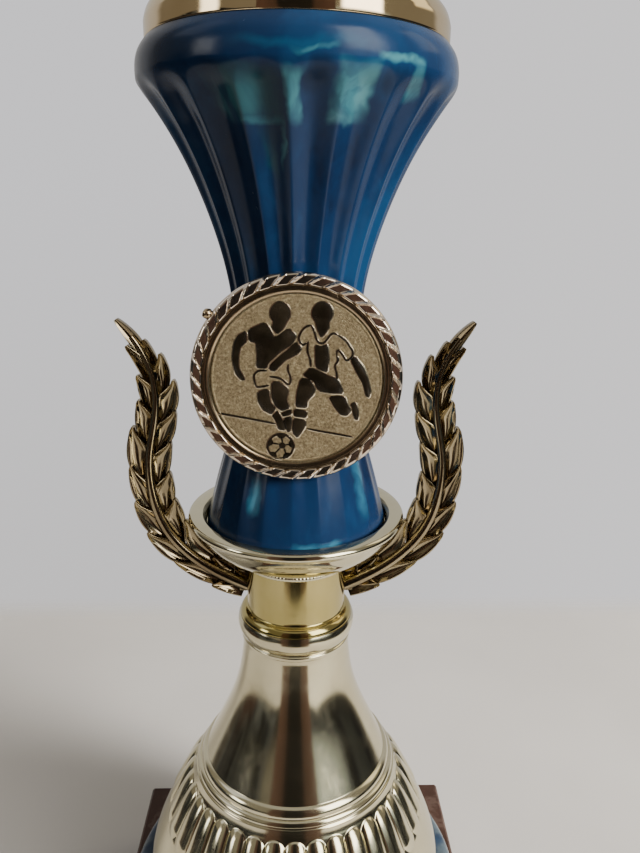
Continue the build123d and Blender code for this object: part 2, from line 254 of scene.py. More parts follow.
class Shader(Nodes):
    """A material with one Principled shader and object coordinates in metres."""

    def __init__(self, name):
        self.material = bpy.data.materials.new(name)
        self.material.use_nodes = True
        super().__init__(self.material.node_tree, "Object")
        self.principled = next(n for n in self.tree.nodes if n.type == "BSDF_PRINCIPLED")

    def set(self, **values):
        """Sets or links Principled inputs: underscores in the names stand for spaces."""
        for key, value in values.items():
            self.put(self.principled.inputs[key.replace("_", " ")], value)
        return self

    def ramp(self, factor, stops):
        """Colour ramp: stops are (position, value) with a number or a colour as the value."""
        node = self.add("ValToRGB", {"Fac": factor})
        node.color_ramp.interpolation = "EASE"
        elements = node.color_ramp.elements
        while len(elements) < len(stops):
            elements.new(0.5)
        for element, (position, value) in zip(elements, stops):
            element.position = position
            grey = isinstance(value, (int, float))
            element.color = (value, value, value, 1) if grey else (*value, 1)
        return node.outputs["Color"]

    def mottle(self, scale, *stops, **noise):
        """Colour ramp over a noise of that scale."""
        return self.ramp(self.noise(scale, **noise), stops)

    def warped(self, scale, amount):
        """Object coordinates pushed about by a soft noise, amount in metres."""
        push = self.vector("SUBTRACT", self.noise(scale, detail=3.0, output="Color"), (0.5, 0.5, 0.5))
        return self.vector("ADD", self.where, self.vector("MULTIPLY", push, (amount, amount, amount)))

    def bump(self, height, strength, distance):
        inputs = {"Height": height, "Strength": strength, "Distance": distance}
        return self.set(Normal=self.add("Bump", inputs).outputs["Normal"])


def mirror_gold(name, colour, tarnish, polish, smudge=0.1):
    """Metallised, mirror-bright surface with faint waviness, wiped smudges and a little tarnish."""
    s = Shader(name)
    s.set(Base_Color=s.mix(s.mottle(38, (0.35, 0.0), (0.75, 1.0), detail=5), colour, tarnish), Metallic=1.0)
    wiped = [(0.42, polish), (0.8, polish + smudge)]
    s.set(Roughness=s.mottle(90, *wiped, detail=6, roughness=0.7, distortion=1.2))
    return s.bump(s.noise(60, detail=2), 0.1, 0.0004).material


def steel(name):
    s = Shader(name)
    s.set(Base_Color=s.mottle(400, (0.3, (0.42, 0.43, 0.45)), (0.7, (0.62, 0.63, 0.65)), detail=3))
    s.set(Metallic=1.0, Roughness=s.mottle(900, (0.3, 0.25), (0.7, 0.42)))
    return s.bump(s.noise(1500), 0.2, 0.00005).material


def moulded(name, dark, light, rough=0.45, bump=0.2):
    s = Shader(name)
    s.set(Base_Color=s.mottle(120, (0.3, dark), (0.7, light), detail=5))
    s.set(Roughness=s.mottle(300, (0.3, rough - 0.08), (0.7, rough + 0.08)))
    return s.bump(s.noise(2200, detail=3), bump, 0.00008).material


def felt_material():
    s = Shader("felt")
    shades = [(0.35, (0.012, 0.012, 0.015)), (0.7, (0.05, 0.05, 0.055))]
    s.set(Base_Color=s.mottle(900, *shades, detail=8, roughness=0.8), Roughness=0.95, Sheen_Weight=0.4)
    return s.bump(s.noise(2600, detail=6, roughness=0.8), 0.8, 0.0003).material


def marble_material():
    """Polished red-brown marble: clouded ground, thin paler veins and small reddish grains."""
    s = Shader("marble")
    shades = [(0.3, (0.034, 0.018, 0.013)), (0.52, (0.05, 0.027, 0.02)), (0.75, (0.078, 0.045, 0.034))]
    cloud = s.mottle(22, *shades, detail=9, roughness=0.62, vector=s.warped(14, 0.03))
    flow = s.noise(11, detail=7, roughness=0.6, vector=s.warped(9, 0.08))
    ridge = s.math("ABSOLUTE", s.math("SUBTRACT", flow, 0.5))
    colour = s.mix(s.ramp(ridge, [(0.0, 0.75), (0.018, 0.0)]), cloud, (0.085, 0.055, 0.043))
    grain = s.mottle(700, (0.6, 0.0), (0.72, 0.6), detail=2, roughness=0.5)
    s.set(Base_Color=s.mix(grain, colour, (0.07, 0.03, 0.025)), IOR=1.22)
    s.set(Roughness=s.mottle(60, (0.3, 0.14), (0.7, 0.26)))
    return s.bump(s.noise(300, detail=4), 0.05, 0.0001).material


def blue_plastic(name):
    """Glossy blue plastic with darker and lighter flow marks. Returns the shader and its colour, for
    swirls and painted light and shade to be laid over it."""
    s = Shader(name)
    stretch = s.vector("MULTIPLY", s.warped(24, 0.02), (1.0, 1.0, 0.45))
    shades = [(0.28, (0.003, 0.0055, 0.015)), (0.48, (0.0035, 0.0135, 0.04))]
    shades.append((0.68, (0.0048, 0.026, 0.069)))
    colour = s.mottle(42, *shades, detail=5, roughness=0.6, vector=stretch)
    s.set(IOR=1.3, Roughness=s.mottle(130, (0.35, 0.16), (0.75, 0.28), detail=5, roughness=0.7))
    s.bump(s.noise(180, detail=3), 0.06, 0.0004)
    return s, colour


class SwirlsAndShade:
    """Flow marks, and marks of painted light and shade, laid over a shader's colour, placed by turn about
    the Z axis (degrees from the front, + towards +X) and height above base_z in mm, both pushed about by
    noise."""

    def __init__(self, shader, colour, base_z=0.0):
        self.s = s = shader
        self.colour = colour
        self.base_z = base_z
        self.curl = s.noise(34, detail=4, roughness=0.58, distortion=1.6, vector=s.warped(30, 0.012))
        x, y, self.height = s.split(s.warped(75, 0.009))
        self.turn = s.bearing(x, y)

    def between(self, value, low, high, soft):
        """1 well inside low to high and 0 outside, with edges that fade over soft."""
        s = self.s
        nearest = s.math("MINIMUM", s.math("SUBTRACT", value, low), s.math("SUBTRACT", high, value))
        return s.math("SMOOTH_MIN", s.math("DIVIDE", nearest, soft), 1.0, clamp=True)

    def lay(self, turns, heights, tint, strength, soft, streaks=True):
        """One mark between two turns and two heights; soft is how far its edges fade, (degrees, mm)."""
        s = self.s
        low, high = (self.base_z + h * MM for h in heights)
        up = self.between(self.height, low, high, soft[1] * MM)
        mask = s.math("MULTIPLY", self.between(self.turn, *turns, soft[0]), up)
        if streaks:
            curls = s.ramp(self.curl, [(0.33, 0.25), (0.47, 0.95), (0.54, 0.55), (0.66, 1.0)])
            mask = s.math("MULTIPLY", mask, curls)
        self.colour = s.mix(s.math("MULTIPLY", mask, strength, clamp=True), self.colour, tint)


# ---- column: waisted, hollow, 20 flutes with arched tops ----
FLUTES = 20
FLUTE_TURN = radians(-3)
FLUTE_LAND = 0.02
FLUTE_SPRING = 126.0
FLUTE_ROUND = 0.4
COLUMN_WALL = 2.4
# how deep the flutes are at these heights up the column
FLUTE_HEIGHTS = [0, 14, 34, 54, 100, 120, 127, 131, 134]
FLUTE_DEPTHS = [0.1, 0.45, 0.7, 0.75, 1.15, 1.65, 1.3, 0.6, 0.3]


def smooth(value, low, high):
    """0 below low, 1 above high, eased in between."""
    t = np.clip((value - low) / (high - low), 0, 1)
    return t * t * (3 - 2 * t)


def build_column():
    foot, tall = span("column")
    flare = [(29.8, 0), (26.3, 14.5), (22.0, 30.5), (19.4, 54.5)]
    flare += [(21.1, 78.5), (26.8, 98.5), (36.2, 118.5), (44.75, 131.4)]
    rim = 42.1
    rise = spline(flare, 190)
    band = spline([flare[-1], (44.9, 135.2), (44.0, 139.2), (rim, tall)], 44)
    bend = corner(rise[-4], np.array(flare[-1]), band[5], 9)
    outer = joined([(28.9, 0.0), (29.5, 0.25), (29.75, 0.9)], rise[3:-4], bend, band[6:])
    inner = spline([(r - COLUMN_WALL, z) for r, z in flare], 40)[::-1]
    outline = joined(outer, [(rim - COLUMN_WALL, tall)], inner)
    # flutes scooped between narrow lands, with round tops that spring from FLUTE_SPRING
    r, h = outline[:, :1], outline[:, 1:]
    half = pi * r / FLUTES * (1 - FLUTE_LAND)
    segments = FLUTES * 28
    across = (((full_turn(segments) - FLUTE_TURN) * FLUTES / tau) % 1.0 - 0.5) * tau * r / FLUTES
    inside = np.clip(1 - np.hypot(across, np.clip(h - FLUTE_SPRING, 0, None)) / half, 0, 1)
    scoop = FLUTE_ROUND * (1 - (1 - inside) ** 2) + (1 - FLUTE_ROUND) * smooth(inside, 0, 1)
    scoop[len(outer) :] = 0
    push = -np.interp(h, FLUTE_HEIGHTS, FLUTE_DEPTHS) * scoop
    return lathe("column_shell", outline, foot, push, segments)


# ---- turned shells ----
def build_foot_ring():
    low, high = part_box("foot_ring")
    edge = (high.x - low.x) / 2 / MM
    deck = 31.7
    lip = 34.7
    bore = edge - 6.6
    seat = [(51.0, deck), (51.0, lip), (48.4, lip), (48.4, deck)]
    outline = joined(
        [(edge - 3.6, 0.0), (edge - 3.3, 0.3)],
        spline([(edge - 3.2, 0.8), (edge - 2.4, 8.0), (edge - 0.5, 20.0), (edge, 28.0)], 30),
        bow((edge, 28.0), (edge - 1.2, 30.6), (edge - 4.0, deck), 10),
        eased([(edge - 4.0, deck), *seat, (ROD_HOLE, deck)], 0.5),
        [(ROD_HOLE, 29.1), (bore, 29.1), (bore, 0.0)],
    )
    return lathe("foot_ring_shell", outline, low.z)


LOBES = 36
LOBE_FROM = (38.0, 49.7)
LOBE_TO = (48.2, 31.0)
LOBE_RISE = 0.8
LOBE_GROOVE = 0.5
BELL_WALL = 1.5
BELL_NECK = (18.4, 103.0)


def build_bell():
    foot, top = span("bell_riser")
    skirt = [(55.1, 0.6), (55.4, 6.0), (52.8, 20.5), (45.9, 35.5), (39.7, 46.8), (37.6, 50.2)]
    skirt.append((36.8, 52.5))
    flare = [(32.5, 58.7), (25.9, 72.8), (20.6, 88.0), BELL_NECK]
    outer = joined(
        [(54.4, 0.0), (54.9, 0.15)],
        spline(skirt, 230),
        eased([skirt[-1], (36.4, 52.8), (36.2, 53.1)], 0.2),
        bow((36.2, 53.1), (35.8, 54.2), (34.9, 54.9), 10),
        bow((34.9, 54.9), (34.7, 55.0), (34.7, 55.2), 5),
        bow((34.7, 55.2), (34.1, 57.2), (32.8, 58.4), 14),
        eased([(32.8, 58.4), (32.6, 58.5), flare[0]], 0.1),
        spline(flare, 90),
        eased([BELL_NECK, (18.4, 104.3), (18.9, 104.6), (18.9, 105.7), (18.4, 106.1), (18.6, 106.4)], 0.2),
        bow((18.6, 106.4), (20.2, 111.2), (19.6, top), 26),
        [(19.0, top), (ROD_HOLE, top)],
    )
    inside = np.concatenate([spline(flare, 30)[::-1], spline(skirt, 40)[::-1]]) - (BELL_WALL, 0)
    ceiling = [(ROD_HOLE, top - 2.4), (16.8, top - 2.4), (16.8, BELL_NECK[1])]
    outline = joined(outer, ceiling, inside, [(53.6, 0.0)])
    start = np.array(LOBE_FROM)
    way = np.array(LOBE_TO) - start
    length = np.linalg.norm(way)
    # domed lobes with round ends that stand a little proud of the skirt, with grooves between
    s = ((outline - start) @ way / length)[:, None]
    half = pi * outline[:, :1] / LOBES
    segments = LOBES * 20
    across = ((full_turn(segments) * LOBES / tau + 0.5) % 1.0 - 0.5) * 2 * half
    beyond = np.clip(half - s, 0, None) + np.clip(s - (length - half), 0, None)
    dome = (1 - np.clip(np.hypot(across, beyond) / half, 0, 1) ** 2) ** 0.6
    sunk = smooth(s, 0.0, half) * (1 - smooth(s, length - half, length))
    push = LOBE_RISE * dome - LOBE_GROOVE * sunk * (1 - dome)
    push[len(outer) :] = 0
    return lathe("bell_shell", outline, foot, push, segments, crease=radians(50))


def build_neck():
    foot, top = span("neck_collar")
    r = 16.9
    outline = joined(
        eased([(19.1, 0.0), (19.45, 0.1), (19.4, 0.45)], 0.1),
        bow((19.4, 0.45), (18.6, 1.9), (17.2, 2.75), 12),
        eased([(17.2, 2.75), (r, 3.1), (r, 4.2)], 0.3),
        spline([(r, 4.2), (r, 11.0), (r, top)], 14),
        [(ROD_HOLE, top), (ROD_HOLE, top - 2.4), (r - 1.8, top - 2.4), (r - 1.8, 0.0)],
    )
    return lathe("neck_shell", outline, foot)


HUB_BEADS = 96
HUB_BEAD_RISE = 0.16


def build_dish():
    foot, rim = span("column_dish")
    floor = rim - 3.5
    hub = eased([(ROD_HOLE, 0.0), (17.6, 0.0), (18.1, 0.3), (18.3, 1.2), (18.0, 1.7), (18.7, 2.0)], 0.25)
    outline = joined(
        hub,
        eased([(18.7, 2.0), (19.6, 2.3), (19.8, 3.2), (21.4, 3.5), (21.6, 4.6), (22.6, 4.9)], 0.3),
        spline([(22.6, 4.9), (26.4, 6.4), (30.0, 9.2), (32.8, 12.6), (34.2, 15.2)], 30),
        eased([(34.2, 15.2), (34.8, 15.3), (35.1, 15.9)], 0.2),
        bow((35.1, 15.9), (35.85, 17.3), (35.0, rim), 14),
        eased([(35.0, rim), (31.3, rim), (30.15, rim - 1.4), (30.15, floor), (25.0, floor)], 0.35),
        spline([(25.0, floor), (19.0, 6.6), (14.0, 2.4)], 12),
        [(ROD_HOLE, 2.4)],
    )

    # fine beads round the hub
    r, h = outline[:, :1], outline[:, 1:]
    beaded = (r > 17.5) & (h > 0.2) & (h < 1.8)
    beaded[len(hub) :] = False
    segments = HUB_BEADS * 6
    push = HUB_BEAD_RISE * (0.5 + 0.5 * np.cos(full_turn(segments) * HUB_BEADS)) * beaded
    return lathe("dish_shell", outline, foot, push, segments)


CAP_WALL = 1.2


def build_cap():
    foot, top = span("dome_cap")
    seat = 4.0
    edge = 42.0
    dome = [(edge, seat + 4.6), (41.0, seat + 7.6), (37.6, seat + 10.8), (28.0, seat + 14.9), (16.0, top)]
    outline = joined(
        eased([(39.2, seat), (41.6, seat), (edge, seat + 0.4), (edge, seat + 1.6)], 0.3),
        eased([(edge, seat + 1.6), (edge, seat + 3.0), dome[0]], 0.3),
        spline(dome, 60),
        [(ROD_HOLE, top), (ROD_HOLE, top - CAP_WALL), (14.8, top - CAP_WALL)],
        spline(dome, 20)[::-1] - CAP_WALL,
        [(40.8, seat + CAP_WALL), (38.0, seat + CAP_WALL), (38.0, 0.0), (39.2, 0.0), (39.2, seat)],
    )
    return lathe("cap_shell", outline, foot)


def build_collar():
    foot, top = span("finial_collar")
    outline = joined(
        eased([(9.3, 0.0), (16.0, 0.0), (16.0, 2.0), (14.5, 2.6), (14.0, 4.0)], 0.5),
        spline([(14.0, 4.0), (11.4, 6.8), (10.6, top - 1.8)], 16),
        eased([(10.6, top - 1.8), (11.6, top - 1.2), (11.6, top), (ROD_HOLE, top)], 0.4),
        [(ROD_HOLE, top - 2.0), (9.3, top - 2.0)],
    )
    return lathe("collar_shell", outline, foot, segments=160)


FINIAL_BALL = 4.8
FINIAL_NECK = 3.2
FINIAL_BORE = 4.5


def build_finial():
    foot, top = span("finial")
    t = np.linspace(-acos(FINIAL_NECK / FINIAL_BALL), pi / 2, 26)
    across = np.maximum(0.02, FINIAL_BALL * np.cos(t))
    ball = np.stack([across, top - FINIAL_BALL + FINIAL_BALL * np.sin(t)], 1)
    outline = joined(
        eased([(FINIAL_BORE, 0.0), (8.6, 0.0), (8.6, 1.6), (8.2, 1.8)], 0.4),
        bow((8.2, 1.8), (6.2, 2.4), (5.6, 4.2), 8),
        spline([(5.6, 4.2), (11.0, 16.5), (6.6, 24.5), (FINIAL_NECK, 29.4)], 44),
        ball,
        [(0.02, 12.0), (FINIAL_BORE, 12.0)],
    )
    return lathe("finial_body", outline, foot, segments=128)


# ---- medallion: rope border, holder, disc and emblem ----
MEDAL_CENTRE = (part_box("medallion_insert")[0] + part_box("medallion_insert")[1]) / 2
ROPE_STRANDS = 36
ROPE_INNER = 26.5
ROPE_OUTER = 30.0
ROPE_TWIST = radians(9.7)
BAR_SHARE = 0.17
BAR_HEIGHT = 0.72
FACET_TILT = 0.22
NUB_R = 1.45
NUB_FROM_CENTRE = 30.5
NUB_OUT = 1.8
NUB_ANGLE = radians(143)
DISC_FRONT = 2.32


def medal_mesh(name, points, faces, crease=CREASE):
    """Mesh from points (x right, z up, out towards the viewer) in mm about the medallion's centre line,
    out being measured from the back of the holder."""
    back_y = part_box("medallion_holder")[1].y
    p = np.array(points, float) * MM
    placed = np.stack([MEDAL_CENTRE.x + p[:, 0], back_y - p[:, 2], MEDAL_CENTRE.z + p[:, 1]], 1)
    return add_mesh(name, placed, faces, body="medallion", crease=crease)


def medal_lathe(name, outline):
    """Ring turned about the medallion's axis: outline is a closed loop of (radius, out) in mm."""
    angle = full_turn(AXIS_SEGMENTS)
    r, out = outline[:, :1], outline[:, 1:]
    faces = grid_faces(len(outline), AXIS_SEGMENTS)[:, ::-1]
    return medal_mesh(name, net(r * np.cos(angle), r * np.sin(angle), out), faces)


def build_holder():
    """Back plate with a thin edge and a sloping lip round the disc's seat."""
    outline = joined(
        [(0.05, 0.0), (28.0, 0.0), (28.0, 1.3), (26.9, 1.6), (26.45, 2.6)],
        bow((26.45, 2.6), (26.3, 3.0), (26.05, 2.95), 6),
        bow((26.05, 2.95), (25.2, 2.95), (24.45, 2.62), 12),
        [(24.4, 2.45), (25.0, 2.42), (25.0, 1.2), (0.05, 1.2)],
    )
    return medal_lathe("medallion_plate", outline)


def build_rope():
    """Rope border: flat facets parted by slanted, rounded bars that run on over the outer rim."""
    section = joined(
        [(27.0, 0.3), (29.2, 0.3)],
        bow((29.2, 0.3), (29.9, 1.9), (28.8, 2.95), 18),
        np.linspace((28.8, 2.95), (27.2, 3.15), 12),
        bow((27.2, 3.15), (26.7, 3.1), (ROPE_INNER, 2.6), 6),
        [(ROPE_INNER, 1.2)],
    )
    ring = ROPE_STRANDS * 28
    a = tau * np.arange(ring)[:, None] / ring
    r, out = section.T
    lead = (r - ROPE_INNER) / (ROPE_OUTER - ROPE_INNER)
    strand = ((a + lead * ROPE_TWIST) * ROPE_STRANDS / tau) % 1.0
    bar = np.clip(1 - ((strand - 0.5) / BAR_SHARE) ** 2, 0, None) ** 0.7
    shown = smooth(out, 1.6, 2.7) * smooth(r, 26.55, 26.95) * (1 - smooth(r, 28.9, 29.7))
    slope = FACET_TILT * ((strand + 0.5) % 1.0 - 0.5)
    points = net(r * np.cos(a), r * np.sin(a), out + shown * (BAR_HEIGHT * bar + slope))
    return medal_mesh("rope_border", points, grid_faces(ring, len(section)), crease=radians(32))


def build_nub():
    """Moulding nub on the rope's rim: a small uneven ball that stands half out of the ring."""
    rings, turns = 15, 28
    tilt = pi * np.linspace(0.02, 0.98, rings)[:, None]
    t = tau * np.arange(turns) / turns
    uneven = 1 + 0.06 * np.sin(2 * t + 3 * tilt) + 0.04 * np.sin(5 * t - 2 * tilt)
    across = NUB_R * np.sin(tilt) * uneven
    spot = (NUB_FROM_CENTRE + across * np.exp(1j * t)) * np.exp(1j * NUB_ANGLE)
    points = net(spot.real, spot.imag, NUB_OUT - NUB_R * np.cos(tilt))
    return medal_mesh("moulding_nub", points, grid_faces(rings, turns, close_rows=False)[:, ::-1])


def build_disc():
    """Stamped disc with a raised border."""
    outline = joined(
        [(0.05, 1.62), (24.6, 1.62), (24.85, 1.75), (24.85, 2.0)],
        eased([(24.85, 2.0), (24.15, 2.0), (23.95, 2.4), (23.5, 2.44), (23.35, DISC_FRONT)], 0.1),
        [(23.2, DISC_FRONT), (0.05, DISC_FRONT)],
    )
    return medal_lathe("emblem_disc", outline)


def softened(points, share):
    """Closed outline with its corners cut back by that share of each side."""
    p = np.array(points, float)
    q = np.roll(p, -1, 0)
    return np.stack([p * (1 - share) + q * share, p * share + q * (1 - share)], 1).reshape(-1, 2)


def is_anticlockwise(points):
    p = np.array(points, float)
    q = np.roll(p, -1, 0)
    return np.sum(p[:, 0] * q[:, 1] - q[:, 0] * p[:, 1]) > 0


def grown(points, amount):
    """Closed outline pushed outwards by amount."""
    p = np.array(points, float)
    d = np.roll(p, -1, 0) - p
    n = np.stack([d[:, 1], -d[:, 0]], 1) / (length_of(d) + 1e-9)
    n = n + np.roll(n, 1, 0)
    n /= length_of(n) + 1e-9
    return p + n * amount * (1 if is_anticlockwise(p) else -1)


def plates(name, outlines, low, high):
    """Flat raised plates from closed outlines, each with a small bevelled edge."""
    solids = []
    for outline in outlines:
        p = np.array(outline, float)
        if is_anticlockwise(p):
            p = p[::-1]
        rings = ((p, low), (p, high - 0.03), (grown(p, -0.06), high))
        solids.append([[(x, z, out) for x, z in ring] for ring, out in rings])
    return medal_mesh(name, *loft(solids), crease=radians(30))


def stroke(points, width, count):
    """Closed outline of a smooth band of that width along the points, with tapered ends."""
    line = spline(points, count)
    d = np.gradient(line, axis=0)
    n = np.stack([-d[:, 1], d[:, 0]], 1) / (length_of(d) + 1e-9)
    t = np.linspace(0, 1, count)
    half = width / 2 * np.clip(np.minimum(t, 1 - t) * 8 + 0.35, 0, 1)[:, None]
    return np.concatenate([line + n * half, (line - n * half)[::-1]])


def around(cx, cz, angles, across, up=None):
    """Points about (cx, cz) at those angles, on a circle or, with up, on an oval."""
    return [(cx + across * cos(a), cz + (up or across) * sin(a)) for a in angles]


# Players, ball and ground of the emblem, as outlines in mm about the disc's centre: x right, z up.
LEFT_PLAYER = {
    "shirt": [
        (-13.2, 14.2), (-9.3, 15.9), (-8.2, 15.5), (-6.1, 11.6), (-2.2, 14.5), (-0.3, 12.6), (-1.2, 10.4),
        (-4.6, 8.2), (-8.0, 5.0), (-8.4, 3.5), (-11.3, 3.6), (-10.8, 7.4), (-11.3, 10.6), (-13.0, 11.0),
    ],
    "upper_arm": [
        (-14.0, 13.6), (-13.8, 11.0), (-15.6, 9.4), (-16.3, 6.4), (-16.2, 3.4), (-14.5, 0.2),
        (-15.6, 0.1), (-17.2, 2.0), (-17.8, 6.4), (-17.2, 10.4), (-16.2, 12.6),
    ],
    "forearm": [
        (-0.2, 10.7), (1.2, 9.1), (0.4, 7.6), (-2.8, 6.1), (-4.4, 4.7),
        (-6.2, 2.7), (-7.6, 3.1), (-7.2, 4.6), (-4.6, 6.9), (-2.4, 8.6),
    ],
    "thigh_back": [
        (-10.9, -3.3), (-8.0, -2.6), (-7.6, -6.2), (-6.0, -8.3), (-7.2, -9.9), (-9.5, -8.6), (-10.8, -6.4)
    ],
    "sock_back": [
        (-5.6, -9.0), (-6.8, -10.3), (-5.8, -12.0), (-5.2, -14.3),
        (-3.3, -14.6), (-3.8, -12.2), (-4.9, -10.2),
    ],
    "thigh_front": [
        (-6.9, -0.4), (-4.6, -0.8), (-2.4, -2.6), (-3.0, -5.8), (-2.0, -8.0), (-4.2, -8.9), (-6.2, -7.2),
        (-7.0, -4.8),
    ],
    "sock_band": [(-4.2, -9.5), (-1.7, -8.6), (-1.5, -9.8), (-3.9, -10.5)],
    "sock_front": [(-3.6, -11.1), (-1.5, -10.5), (-1.8, -14.8), (-2.7, -15.0)],
}
RIGHT_PLAYER = {
    "shirt_front": [(5.1, 10.0), (6.6, 9.4), (8.4, 10.2), (8.8, 6.0), (8.5, 2.3), (5.3, 3.8), (5.2, 7.0)],
    "arm": [
        (15.1, 5.8), (16.0, 6.9), (18.6, 3.8), (19.9, 0.4), (20.8, -3.4), (20.4, -4.8), (19.6, -4.2),
        (18.8, -0.8), (16.8, 2.4),
    ],
    "shorts": [
        (3.9, 3.6), (8.6, 1.4), (11.3, 0.5), (13.3, -3.7),
        (9.6, -3.6), (6.1, -2.9), (4.8, 0.0), (1.7, 1.5),
    ],
    "thigh_front": [
        (1.1, 0.5), (3.6, 0.2), (5.0, -2.2), (4.8, -4.0),
        (3.0, -5.7), (2.8, -7.9), (-0.3, -7.7), (0.1, -3.6),
    ],
    "sock_band": [(-0.7, -8.5), (2.8, -9.0), (2.7, -10.9), (-0.8, -10.4)],
    "boot_front": [(-0.9, -11.1), (2.4, -11.7), (2.4, -13.6), (0.2, -16.9), (-1.2, -15.1)],
    "thigh_back": [
        (9.1, -4.7), (13.4, -4.6), (14.6, -7.6), (15.5, -8.8), (14.2, -10.2), (12.6, -9.9), (10.6, -7.4)
    ],
    "boot_back": [
        (15.4, -7.0), (16.5, -6.3), (17.4, -8.6), (17.5, -11.4), (16.6, -11.2), (16.1, -9.4), (15.9, -8.0)
    ],
}
DARK_LINES = [
    [(-8.4, 2.7), (-11.3, 2.3), (-11.9, 1.4), (-11.8, -0.2), (-11.2, -1.9), (-9.8, -1.9), (-7.9, -1.5)],
    [(-7.5, 1.0), (-5.6, 0.8), (-3.6, -0.2), (-2.2, -1.2), (-1.7, 0.4), (-2.4, 2.6), (-2.4, 4.6)],
    [(3.9, 15.5), (2.4, 15.0), (0.9, 13.2), (0.5, 11.9), (1.8, 10.1), (2.7, 10.6)],
    [(3.1, 11.0), (3.0, 8.0), (3.7, 5.8), (3.9, 3.9)],
    [(3.9, 15.5), (4.9, 13.4), (6.0, 10.8), (7.0, 10.5), (8.6, 12.0), (10.1, 13.3), (11.3, 12.8)],
    [
        (11.3, 12.8), (13.6, 11.2), (15.0, 9.2), (15.6, 7.8),
        (14.0, 5.8), (12.4, 7.8), (11.3, 8.6), (11.1, 7.0),
    ],
    [(11.1, 7.0), (11.4, 5.6), (10.7, 4.4), (11.0, 2.6), (11.3, 0.6)],
    [(-22.4, -9.6), (-18.0, -10.4), (-12.0, -11.5), (-6.1, -12.7)],
    [(3.0, -14.2), (8.0, -15.1), (12.0, -15.8), (16.2, -16.6)],
]
LINE_WIDTH = 0.42
# plain oval heads, as (x, z, half width, half height), each with the points of its neck
HEADS = [
    ((-4.6, 18.7, 2.8, 3.1), [(-6.9, 14.6), (-5.5, 12.9), (-3.5, 14.6)]),
    ((6.9, 18.8, 2.9, 3.1), [(5.5, 14.2), (6.7, 11.9), (8.7, 14.2)]),
]
BALL_X, BALL_Z, BALL_R = -4.6, -19.5, 3.95


def ball_patches():
    """Five seams and five rim patches of the ball, then its central pentagon."""
    middle = (BALL_X + 0.5, BALL_Z + 0.3)
    angles = [radians(14) + tau * k / 5 for k in range(5)]
    shapes = []
    for a in angles:
        seam = around(*middle, [a], 1.0) + around(BALL_X, BALL_Z, [a], BALL_R - 0.9)
        shapes.append(stroke(seam, 0.5, 8))
        wedge = around(BALL_X, BALL_Z, [a - 0.42, a, a + 0.42], BALL_R - 0.25)
        wedge += around(BALL_X, BALL_Z, [a + 0.2, a - 0.2], BALL_R - 1.5)
        shapes.append(softened(wedge, 0.15))
    shapes.append(softened(around(*middle, angles, 1.15), 0.12))
    return shapes


def ball_ring(outer, inner):
    """A ring as two half bands, so that each is a simple outline."""
    halves = []
    for start in (0.0, pi):
        angles = np.linspace(start, start + pi, 28)
        near = around(BALL_X, BALL_Z, angles[::-1], inner)
        halves.append(around(BALL_X, BALL_Z, angles, outer) + near)
    return halves


def build_emblem():
    """Returns (bright edging, dark plates): the edging stands a little wider and lower than the plates."""
    outlines = [outline for player in (LEFT_PLAYER, RIGHT_PLAYER) for outline in player.values()]
    shapes = [grown(softened(outline, 0.15), 0.15) for outline in outlines]
    oval = np.radians(np.linspace(-48, 228, 30))
    for (x, z, across, up), neck in HEADS:
        shapes.append(softened(around(x, z, oval, across, up) + neck, 0.22))
    lines = [stroke(points, LINE_WIDTH, 40) for points in DARK_LINES]
    dark = shapes + lines + ball_ring(BALL_R, BALL_R - 0.5) + ball_patches()
    bright = [grown(p, 0.3) for p in shapes] + [grown(p, 0.22) for p in lines]
    bright += ball_ring(BALL_R + 0.3, BALL_R - 0.7)
    root = DISC_FRONT - 0.05
    return (
        plates("emblem_edging", bright, root, DISC_FRONT + 0.07),
        plates("emblem_figures", dark, root, DISC_FRONT + 0.11),
    )


# ---- laurel branches ----
# Midrib and leaf tips of the +X branch, (x, z) in mm; the other branch mirrors them.
MIDRIB = [
    (16.6, 187.3), (26.7, 192.4), (36.3, 199.5), (43.2, 208.0), (47.4, 220.0),
    (47.9, 235.0), (45.6, 247.0), (45.2, 259.0), (49.3, 270.4), (55.7, 278.9),
]
OUTER_TIPS = [
    (29.5, 187.2), (42.0, 196.5), (50.6, 207.0), (54.0, 218.0), (54.8, 231.0),
    (53.4, 244.5), (51.0, 253.2), (50.9, 261.2), (53.6, 270.2),
]
INNER_TIPS = [
    (20.5, 196.3), (28.0, 198.6), (36.5, 212.0), (39.8, 219.6), (41.0, 228.6),
    (40.2, 238.8), (38.3, 249.6), (38.2, 259.8), (42.2, 268.6), (47.2, 273.2),
]
LEAF_LONG = 15.0
LEAF_OVERLAP = 1.85
LEAF_ROWS = 18
BRANCH_BACK = 1.1
# a leaf's front across its width, from the midrib to its outer edge: (share of the width, depth in mm)
LEAF_SECTION = [
    (0.0, 0.4), (0.04, 0.08), (0.1, 0.0), (0.2, 0.55), (0.34, 1.25), (0.48, 1.6),
    (0.62, 1.4), (0.76, 0.75), (0.88, 0.0), (0.96, 0.05), (1.0, 0.4),
]
# the same for the end leaf, from one edge to the other, in shares of its half width
END_LEAF_SECTION = [(-1, 0.5), (-0.85, 0.0), (-0.4, 0.7), (0, 0.95), (0.4, 0.7), (0.85, 0.0), (1, 0.5)]
# how thick the midrib is at these distances from the root
STEM_RUN = [0, 18, 60]
STEM_THICK = [2.3, 1.9, 1.5]
PEG_LONG = 6.2
PEG_HALF_DEPTH = 1.5
PEG_HALF_HEIGHT = 2.1
PEG_CUT = 0.3


